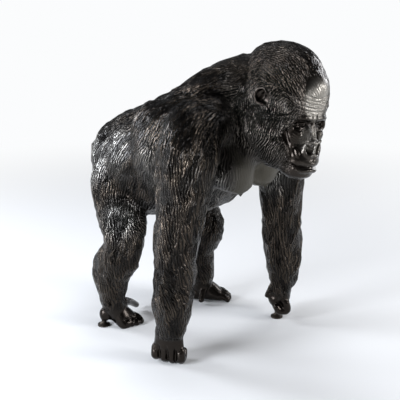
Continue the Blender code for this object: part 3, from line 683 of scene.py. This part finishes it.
heard = np.array(heard, np.float32)


def combed(spots):
    """The way the hair lies at each point: a blend of the guide hairs near it, a little tousled."""
    far = ((spots[:, None, :] - spines[None]) ** 2).sum(2)
    pull = np.exp(-far / (2 * heard**2)) + 1e-9
    way = pull @ ways
    way /= np.maximum(np.linalg.norm(way, axis=1, keepdims=True), 1e-9)
    tousle = np.sin(spots[:, [1, 2, 0]] * 90 + np.array([0, 2, 4], np.float32))
    tousle += np.sin(spots[:, [2, 0, 1]] * 47 + np.array([1, 3, 5], np.float32))
    return way + tousle * 0.13


def hairiness(spots):
    """1 on the coat, 0 on the bare face, ears, breast, hands and feet."""
    skull = in_head(spots)
    side = np.abs(skull[:, 0])
    oval = np.hypot(side / 0.088, (skull[:, 2] + 0.090) / 0.112)
    bald = ((side / 0.058) ** 4 + ((skull[:, 2] - 0.050) / 0.066) ** 4) ** 0.25
    face = np.maximum(fade(oval, 0.86, 1.06), fade(bald, 0.85, 1.15))
    face *= fade(skull[:, 1], -0.075, -0.035)
    ear = fade(away_from(np.column_stack([side, skull[:, 1:]]), (0.124, -0.016, 0.033)), 0.028, 0.040)
    hand = fade(spots[:, 2], 0.090, 0.130) * fade(spots[:, 1], -0.10, -0.06)
    foot = fade(spots[:, 2], 0.070, 0.105)
    return 1 - np.maximum.reduce([face, ear, bare_breast(spots) * 0.93, hand, foot])


def bare_breast(spots):
    """1 on the smooth breast, 0 away from it."""
    breast = fade(np.abs(spots[:, 0]), 0.10, 0.17) * fade(spots[:, 1], -0.34, -0.28)
    return breast * fade(np.abs(spots[:, 2] - 0.69), 0.12, 0.18) * (1 - on_head(spots))


def on_head(spots):
    """1 on the head, 0 from the neck on."""
    return fade(away_from(in_head(spots), (0, 0, 0)), 0.19, 0.24)


def unevenness(spots, width, seed):
    """Smooth random heights between -1 and 1, one bump to each `width`."""
    grid = spots / width
    cell = np.floor(grid).astype(np.int64)
    t = (grid - cell).astype(np.float32)
    t = t * t * (3 - 2 * t)
    height = np.zeros(len(spots), np.float32)
    for corner in np.ndindex(2, 2, 2):
        key = (cell + np.array(corner)) @ np.array([73856093, 19349663, 83492791]) + seed * 7919
        key = (key ^ (key >> 13)) * 1274126177 & 0x7FFFFFFF
        key = (key ^ (key >> 16)) & 0xFFFF
        share = np.prod(np.where(corner, t, 1 - t), axis=1)
        height += (key.astype(np.float32) / 32767.5 - 1) * share
    return height


def locks(spots, outward, width, steps, seed):
    """Locks of hair about one `width` across, laid like shingles: each rises slowly along the
    combing and drops at its tip. Heights average 0 and seldom pass 2 either way."""
    total = unevenness(spots, width, seed)
    spot = spots.copy()
    for step in range(1, steps + 1):
        way = combed(spot)
        way -= outward * (way * outward).sum(1, keepdims=True)
        way /= np.maximum(np.linalg.norm(way, axis=1, keepdims=True), 0.3)
        spot = spot + way * (width * 0.55)
        total += unevenness(spot, width, seed) * (1 - step / (steps + 1))
    return np.clip(total / total.std(), -1.3, 2.0)


# Broad clumps lie under narrower locks. Both are lower over the shoulder crest, which is smooth
# in outline, and the hair of the head is the shortest.
CLUMP_HEIGHT, LOCK_HEIGHT, HEAD_LOCK_HEIGHT, COAT_LIFT = 0.0014, 0.0026, 0.0008, 0.0005
LOCK = {"width": 0.014, "steps": 10, "seed": 2}
hair = hairiness(tool.spots)
scalp = on_head(tool.spots)
outward = tool.outward.copy()
clump = locks(tool.spots, outward, width=0.036, steps=6, seed=1)
lock = locks(tool.spots, outward, **LOCK)
crest = fade(away_from(tool.spots, (0, -0.31, 1.02)), 0.07, 0.15)
body_relief = clump * CLUMP_HEIGHT * (1 - crest) + lock * LOCK_HEIGHT * (1 - 0.6 * crest) + COAT_LIFT
relief = body_relief * (1 - scalp) + lock * HEAD_LOCK_HEIGHT * scalp
tool.spots += outward * (relief * hair)[:, None]
tool.pick_up()

# Fewer facets where the skin is plain. The soles are cut flat where the figure stands.
FACETS = 190000
GROUND = 0.003
piece_faces = sum(len(p.vertices) - 2 for p in gorilla.data.polygons)
thin = gorilla.modifiers.new("thin out", "DECIMATE")
thin.ratio = FACETS / piece_faces
thin.vertex_group = weigh(gorilla, "plain", 1 - 0.75 * crispness(spots_of(gorilla)))
thin.vertex_group_factor = 0.6
bake(gorilla)
skin = bmesh.new()
skin.from_mesh(gorilla.data)
bmesh.ops.bisect_plane(
    skin,
    geom=skin.verts[:] + skin.edges[:] + skin.faces[:],
    dist=1e-6,
    plane_co=UP * GROUND,
    plane_no=UP,
    clear_inner=True,
)
bmesh.ops.holes_fill(skin, edges=[edge for edge in skin.edges if edge.is_boundary])
bmesh.ops.triangulate(skin, faces=skin.faces)
bmesh.ops.recalc_face_normals(skin, faces=skin.faces)
skin.to_mesh(gorilla.data)
skin.free()
gorilla.vertex_groups.clear()

# What the patina follows is kept on the skin. For the coat that is the way it is combed, where
# it grows, where it is the head's finer hair, how high each lock stands, and where it is
# burnished and painted paler as a highlight: a little on the scalp, and fully in four spots on each
# side.
# For the bare skin it is the breast, without the chin, the eyeballs, and how far forehead, nose and
# lip are rubbed and painted with a highlight.
spots = spots_of(gorilla)
outward = np.empty_like(spots)
gorilla.data.vertex_normals.foreach_get("vector", outward.ravel())
comb = combed(spots)
comb -= outward * (comb * outward).sum(1, keepdims=True)
comb /= np.maximum(np.linalg.norm(comb, axis=1, keepdims=True), 1e-6)
for name, values in ("comb", comb), ("across", np.cross(comb, outward)):
    kept = gorilla.data.attributes.new(name, "FLOAT_VECTOR", "POINT")
    kept.data.foreach_set("vector", values.astype(np.float32).ravel())
scalp = on_head(spots)
skull = in_head(spots)
forehead = fade(np.hypot(skull[:, 0] / 0.062, (skull[:, 2] - 0.045) / 0.085), 0.5, 1.0)
nose = fade(away_from(skull, (0, -0.15, -0.09)), 0.03, 0.06)
lip = fade(away_from(skull, (0, -0.16, -0.17)), 0.03, 0.06)
# Forehead, nose and lip mask: partly rubbed bronze, partly a painted highlight on the forehead's
# bulge.
rubbed_with_highlight = np.maximum.reduce([forehead * fade(skull[:, 1], -0.11, -0.08), 0.55 * nose, 0.10 * lip])
chin = fade(away_from(skull, (0, -0.10, -0.14)), 0.10, 0.13)
# Burnish and painted highlight: paler, more reflective metal, a little low on the scalp and fully in
# four spots on each side, set where the highlights fall.
burnish_and_highlight = 0.22 * scalp * fade(skull[:, 2], 0.0, 0.09)
for spot, near, far in (
    ((0.26, -0.145, 0.72), 0.03, 0.09),
    ((0.15, 0.270, 0.66), 0.06, 0.17),
    ((0.20, 0.120, 0.72), 0.02, 0.12),
    ((0.22, 0.080, 0.46), 0.02, 0.10),
):
    burnish_and_highlight = np.maximum(burnish_and_highlight, fade(away_from(np.abs(spots), spot), near, far))
for name, values in (
    ("coat", hairiness(spots)),
    ("burnish_and_highlight", burnish_and_highlight),
    ("scalp", scalp),
    ("lock_height", locks(spots, outward, **LOCK)),
    ("rubbed_with_highlight", rubbed_with_highlight),
    ("eyeball", fade(away_from(np.abs(skull), (0.040, 0.122, 0.043)), 0.007, 0.010)),
    ("breast", bare_breast(spots) * (1 - chin)),
):
    kept = gorilla.data.attributes.new(name, "FLOAT", "POINT")
    kept.data.foreach_set("value", values.astype(np.float32))

# The clay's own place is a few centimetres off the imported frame's, so it is set by the pad.
low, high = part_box("heel_fixing_pad")
onto_frame = Vector(((low.x + high.x) / 2, (low.y + high.y) / 2, low.z)) - HEEL_PAD - UP * GROUND
gorilla.data.transform(Matrix.Translation(onto_frame))
gorilla.data.shade_smooth()


def paint(code):
    """An sRGB hex colour as linear light."""
    parts = [int(code[i : i + 2], 16) / 255 for i in (1, 3, 5)]
    return tuple(p / 12.92 if p <= 0.04045 else ((p + 0.055) / 1.055) ** 2.4 for p in parts) + (1,)


def add(tree, kind, inputs, out=0, **properties):
    """Adds a node and gives one output. Each input is another node's output or a plain value."""
    node = tree.nodes.new(kind)
    for name, value in properties.items():
        setattr(node, name, value)
    for name, value in inputs.items():
        if isinstance(value, bpy.types.NodeSocket):
            tree.links.new(value, node.inputs[name])
        else:
            node.inputs[name].default_value = value
    return node.outputs[out]


# Patinated cast bronze: torched with chemicals to a near-black brown, waxed and buffed. The eye
# gets black furrows between warm dark locks, with thin white glints along them, greyer metal
# where hands and cloths have burnished it, also painted paler there and on the forehead as a
# highlight, and a matte olive breast. The wax is thin, so its clear layer is weak over the metal's
# own gloss.
bronze = bpy.data.materials.new("patinated_waxed_bronze")
bronze.use_nodes = True
tree = bronze.node_tree
shader = tree.nodes["Principled BSDF"]
shader.inputs["Coat Weight"].default_value = 0.1
shader.inputs["Coat Roughness"].default_value = 0.22
place = add(tree, "ShaderNodeTexCoord", {}, "Object")
across = add(tree, "ShaderNodeAttribute", {}, "Vector", attribute_name="across")
comb = add(tree, "ShaderNodeAttribute", {}, "Vector", attribute_name="comb")
coated = add(tree, "ShaderNodeAttribute", {}, "Fac", attribute_name="coat")
scalped = add(tree, "ShaderNodeAttribute", {}, "Fac", attribute_name="scalp")
height = add(tree, "ShaderNodeAttribute", {}, "Fac", attribute_name="lock_height")
smooth = add(tree, "ShaderNodeAttribute", {}, "Fac", attribute_name="breast")
rubbed_with_highlight = add(tree, "ShaderNodeAttribute", {}, "Fac", attribute_name="rubbed_with_highlight")
eyeball = add(tree, "ShaderNodeAttribute", {}, "Fac", attribute_name="eyeball")
burnish_and_highlight = add(tree, "ShaderNodeAttribute", {}, "Fac", attribute_name="burnish_and_highlight")

# Strands. Each pattern is made of patches about as long as its hair, with waves across the
# combing. The real strands are 2 to 4 mm across, too fine for the render, so they are drawn
# 10 mm apart on the body, 7 mm on the head, and 5 mm in the fine pattern over both. Each tip
# is 24 mm behind the last. The strands stray from straight by a few millimetres.
wander = add(tree, "ShaderNodeTexNoise", {"Vector": place, "Scale": 30.0, "Detail": 1.0}, "Color")
inputs = {0: wander, 1: (0.007,) * 3, 2: place}
stray = add(tree, "ShaderNodeVectorMath", inputs, operation="MULTIPLY_ADD")


def strands(spot, patch, pitch, way, out):
    """Waves `pitch` metres apart in the direction `way`, in patches `patch` metres long."""
    inputs = {"Vector": spot, "Scale": 1 / patch, "Frequency": patch / pitch, "Anisotropy": 0.9}
    return add(tree, "ShaderNodeTexGabor", inputs | {5: way}, out, gabor_type="3D")


def calc(operation, a, b=0.0, c=0.0):
    """One sum on plain numbers."""
    return add(tree, "ShaderNodeMath", {0: a, 1: b, 2: c}, operation=operation)


def ridges(phase):
    """Rounded ridges with sharp furrows, from 0 to 1."""
    return calc("SINE", calc("MULTIPLY", phase, math.pi))


body_strands = ridges(strands(stray, patch=0.056, pitch=0.0100, way=across, out="Phase"))
head_strands = ridges(strands(stray, patch=0.030, pitch=0.0074, way=across, out="Phase"))
drawn = add(tree, "ShaderNodeMix", {"Factor": scalped, "A": body_strands, "B": head_strands})
fine_strands = strands(stray, patch=0.030, pitch=0.0050, way=across, out="Value")
fine_strands = calc("MULTIPLY_ADD", fine_strands, 2.0, -1.0)
inputs = {0: comb, "Scale": calc("MULTIPLY", drawn, 0.016)}
pushed = add(tree, "ShaderNodeVectorMath", inputs, operation="SCALE")
pushed = add(tree, "ShaderNodeVectorMath", {0: stray, 1: pushed}, operation="ADD")
tips = strands(pushed, patch=0.034, pitch=0.024, way=comb, out="Phase")
relief = calc("MULTIPLY_ADD", fine_strands, 0.8, drawn)
relief = calc("MULTIPLY_ADD", tips, 1.4, relief)
relief = calc("MULTIPLY", relief, calc("MAXIMUM", coated, calc("MULTIPLY", rubbed_with_highlight, 0.16)))
pitting = add(tree, "ShaderNodeTexNoise", {"Vector": place, "Scale": 240.0, "Detail": 3.0})
relief = calc("MULTIPLY_ADD", pitting, 0.07, relief)
normal = add(tree, "ShaderNodeBump", {"Strength": 1.0, "Distance": 0.0023, "Height": relief})
tree.links.new(normal, shader.inputs["Normal"])
tree.links.new(normal, shader.inputs["Coat Normal"])

# Patina colour: the torch leaves clouds of two browns some 14 cm across, the furrows keep it
# black, and the tops of the locks are rubbed back a little. In a node whose sockets share their
# names between kinds, such as Mix, a socket is called by its number.
clouds = add(tree, "ShaderNodeTexNoise", {"Vector": place, "Scale": 7.0, "Detail": 3.0})


def mix(factor, first, second):
    """Two colours blended."""
    inputs = {"Factor": factor, 6: first, 7: second}
    return add(tree, "ShaderNodeMix", inputs, 2, data_type="RGBA")


def remap(value, low, high, to_low, to_high, **properties):
    """A value between two limits, set between two others."""
    inputs = {"Value": value, "From Min": low, "From Max": high}
    inputs |= {"To Min": to_low, "To Max": to_high}
    return add(tree, "ShaderNodeMapRange", inputs, **properties)


patina = mix(clouds, paint("#1f1c19"), paint("#302a25"))
# Forehead, nose and lip turn a paler grey: partly rubbed bronze, partly a painted highlight that
# stands in for the shine on the forehead.
bare = mix(rubbed_with_highlight, mix(smooth, patina, paint("#3f3c34")), paint("#86827b"))
buffed = calc("MAXIMUM", remap(height, -0.7, 1.3, 0.15, 1.0), calc("MULTIPLY", scalped, 0.6))
high = calc("MULTIPLY", calc("MULTIPLY", drawn, drawn), calc("MULTIPLY_ADD", fine_strands, 0.35, 0.8))
# The pale grey on the lock tops is burnished metal, and also a painted highlight where it is set on
# the shoulder, flank, rump and thigh.
ridge = mix(burnish_and_highlight, mix(clouds, paint("#453c33"), paint("#5c5247")), paint("#a3a19c"))
locks_colour = mix(calc("MULTIPLY", buffed, high), paint("#0b0a09"), ridge)
tree.links.new(mix(coated, bare, locks_colour), shader.inputs["Base Color"])
tree.links.new(remap(smooth, 0.0, 1.0, 0.96, 0.25), shader.inputs["Metallic"])
tree.links.new(remap(smooth, 0.0, 1.0, 0.50, 0.12), shader.inputs["Specular IOR Level"])
dulled = remap(calc("MAXIMUM", smooth, rubbed_with_highlight), 0.0, 1.0, 0.27, 0.38)
tree.links.new(calc("MULTIPLY_ADD", eyeball, -0.16, dulled), shader.inputs["Roughness"])
gorilla.data.materials.clear()
gorilla.data.materials.append(bronze)
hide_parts("gorilla_casting")
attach(gorilla, "root")

# Fixing pads: two bronze discs, each turned with its stem in the lathe and screwed up into a
# socket, one behind the right heel and one under the left knuckles.
PAD_RADIUS, PAD_RIM, PAD_HEIGHT, STEM_RADIUS, STEM_TOP = 0.024, 0.006, 0.015, 0.009, 0.056
turned_bronze = bpy.data.materials.new("turned_dull_bronze")
turned_bronze.use_nodes = True
tree = turned_bronze.node_tree
shader = tree.nodes["Principled BSDF"]
shader.inputs["Metallic"].default_value = 0.9
shader.inputs["Roughness"].default_value = 0.42
place = add(tree, "ShaderNodeTexCoord", {}, "Object")
clouds = add(tree, "ShaderNodeTexNoise", {"Vector": place, "Scale": 60.0, "Detail": 4.0})
tree.links.new(mix(clouds, paint("#262320"), paint("#4a433b")), shader.inputs["Base Color"])
for node in "heel_fixing_pad", "knuckle_fixing_pad":
    low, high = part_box(node)
    foot = Vector(((low.x + high.x) / 2, (low.y + high.y) / 2, 0))
    profile = [(0, 0), (PAD_RADIUS, 0), (PAD_RADIUS, PAD_RIM), (PAD_RADIUS * 0.80, PAD_RIM * 1.25)]
    profile += [(PAD_RADIUS * 0.60, PAD_HEIGHT * 0.72), (STEM_RADIUS * 1.15, PAD_HEIGHT)]
    profile += [(STEM_RADIUS, PAD_HEIGHT * 1.15), (STEM_RADIUS, STEM_TOP), (0, STEM_TOP)]
    disc = bmesh.new()
    outline = [disc.verts.new(foot + Vector((x, 0, z))) for x, z in profile]
    for a, b in zip(outline, outline[1:]):
        disc.edges.new((a, b))
    bmesh.ops.spin(
        disc,
        geom=disc.verts[:] + disc.edges[:],
        cent=foot,
        axis=UP,
        angle=math.tau,
        steps=64,
        use_merge=True,
    )
    bmesh.ops.remove_doubles(disc, verts=disc.verts, dist=1e-5)
    bmesh.ops.recalc_face_normals(disc, faces=disc.faces)
    mesh = bpy.data.meshes.new(node + "_bronze")
    disc.to_mesh(mesh)
    disc.free()
    pad = bpy.data.objects.new(node + "_bronze", mesh)
    bpy.context.scene.collection.objects.link(pad)
    ease = pad.modifiers.new("eased edges", "BEVEL")
    ease.width = 0.0012
    ease.segments = 3
    ease.limit_method = "ANGLE"
    bake(pad)
    pad.data.shade_smooth()
    pad.data.materials.append(turned_bronze)
    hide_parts(node)
    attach(pad, "root")

# Studio: a pale sheet of paper on the floor, softboxes, and the photograph's viewpoint. Rays
# from the camera, and from metal, see the paper as plain white beyond a few metres.
sheet = bmesh.new()
bmesh.ops.create_circle(sheet, cap_ends=True, segments=96, radius=24)
mesh = bpy.data.meshes.new("studio_floor")
sheet.to_mesh(mesh)
sheet.free()
floor = bpy.data.objects.new("studio_floor", mesh)
bpy.context.scene.collection.objects.link(floor)
paper = bpy.data.materials.new("white_background_paper")
paper.use_nodes = True
tree = paper.node_tree
shader = tree.nodes["Principled BSDF"]
shader.inputs["Base Color"].default_value = paint("#ededec")
shader.inputs["Roughness"].default_value = 0.9
place = add(tree, "ShaderNodeTexCoord", {}, "Object")
distance = add(tree, "ShaderNodeVectorMath", {0: place}, "Value", operation="LENGTH")
kinds = "Camera", "Glossy", "Transmission"
camera_ray, glossy_ray, through_ray = (
    add(tree, "ShaderNodeLightPath", {}, f"Is {kind} Ray") for kind in kinds
)
seen = calc("MAXIMUM", camera_ray, calc("MAXIMUM", glossy_ray, through_ray))
white = add(tree, "ShaderNodeEmission", {"Color": paint("#fbfcfd"), "Strength": 1.0})
far = remap(distance, 1.0, 3.2, 0.0, 1.0, interpolation_type="SMOOTHSTEP")
far = calc("MULTIPLY", seen, far)
seen_paper = add(tree, "ShaderNodeMixShader", {0: far, 1: shader.outputs[0], 2: white})
tree.links.new(seen_paper, tree.nodes["Material Output"].inputs["Surface"])
floor.data.materials.append(paper)

world = bpy.data.worlds.new("studio")
bpy.context.scene.world = world
world.use_nodes = True
tree = world.node_tree
sky = tree.nodes["Background"]
sky.inputs["Color"].default_value = paint("#f7faff")
sky.inputs["Strength"].default_value = 0.18


def softbox(name, spot, size, power, colour):
    """A square softbox aimed at the middle of the figure."""
    light = bpy.data.lights.new(name, "AREA")
    light.size = size
    light.energy = power
    light.color = paint(colour)[:3]
    lamp = bpy.data.objects.new(name, light)
    bpy.context.scene.collection.objects.link(lamp)
    lamp.visible_camera = False
    lamp.location = spot
    lamp.rotation_euler = (Vector((0, 0, 0.6)) - Vector(spot)).to_track_quat("-Z", "Y").to_euler()


softbox("left_softbox", (-3.0, 1.0, 1.3), 0.9, 84, "#f1f6ff")
softbox("low_left_softbox", (-2.9, 0.3, 0.6), 0.7, 52, "#f1f6ff")
softbox("rear_softbox", (-1.2, 3.0, 1.5), 0.9, 66, "#f1f6ff")
softbox("top_softbox", (0.3, 0.2, 3.2), 1.0, 28, "#f4f8ff")
softbox("front_right_softbox", (1.6, -3.0, 1.2), 1.2, 94, "#fafbff")
softbox("right_softbox", (3.0, -0.2, 1.3), 0.8, 18, "#fafbff")

LENS_MM, SENSOR_MM = 81.0, 36.0
LOOK_DOWN = math.radians(17.6)
LOOK_ROUND = math.radians(-48)
camera = bpy.data.objects.new("camera", bpy.data.cameras.new("camera"))
bpy.context.scene.collection.objects.link(camera)
camera.data.lens = LENS_MM
camera.data.sensor_width = SENSOR_MM
camera.location = Vector((-2.352, -2.237, 1.53)) + onto_frame
camera.rotation_euler = (math.pi / 2 - LOOK_DOWN, 0, LOOK_ROUND)
bpy.context.scene.camera = camera
bpy.context.scene.view_settings.view_transform = "Standard"
